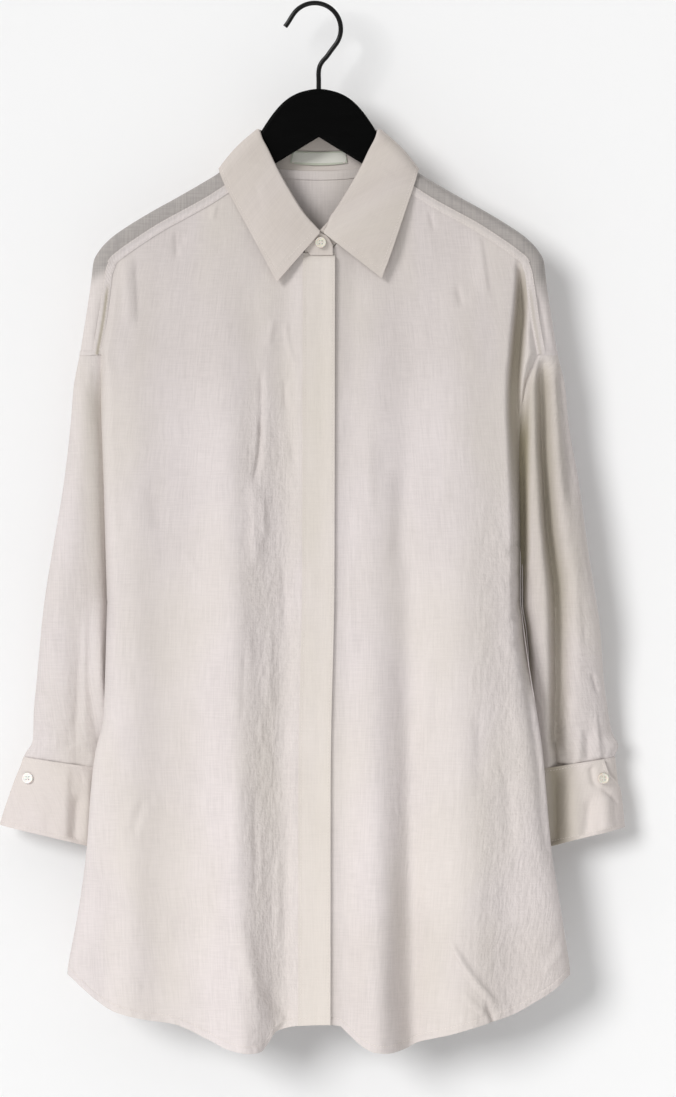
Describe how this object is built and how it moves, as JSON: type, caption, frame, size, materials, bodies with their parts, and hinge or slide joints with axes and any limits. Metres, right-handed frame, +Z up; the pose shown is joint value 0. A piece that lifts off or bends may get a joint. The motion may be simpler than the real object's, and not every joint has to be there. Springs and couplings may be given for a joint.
{
  "type": "blouse on a clothes hanger",
  "caption": "Long oversized linen blouse with a pointed collar, a concealed button placket and wide cuffs, hanging on a flat hanger with a wire hook.",
  "frame": {"origin": "the point of the hook's inner bow that bears on a rail, above the middle of the hanger", "axes": "+Z up, the front of the blouse faces -Y, the wearer's left is towards +X"},
  "size_m": [0.6041, 0.1028, 1.0075],
  "materials": {
    "linen": "plain woven off-white linen, single layer",
    "doubled_linen": "the same linen doubled and interlined",
    "label": "blank woven tape",
    "button": "creamy four-hole buttons",
    "hanger": "flat black lacquered wood",
    "hook": "black coated steel wire"
  },
  "bodies": {
    "root": {"front_right": "linen", "front_left": "linen", "back": "linen", "yoke": "linen", "sleeve_right": "linen", "sleeve_left": "linen", "placket": "doubled_linen", "cuff_right": "doubled_linen", "cuff_left": "doubled_linen", "collar": "doubled_linen", "collar_stand": "doubled_linen", "neck_label": "label", "button_collar": "button", "button_cuff_right": "button", "button_cuff_left": "button", "hanger_body": "hanger", "hanger_hook": "hook"}
  },
  "joints": []
}
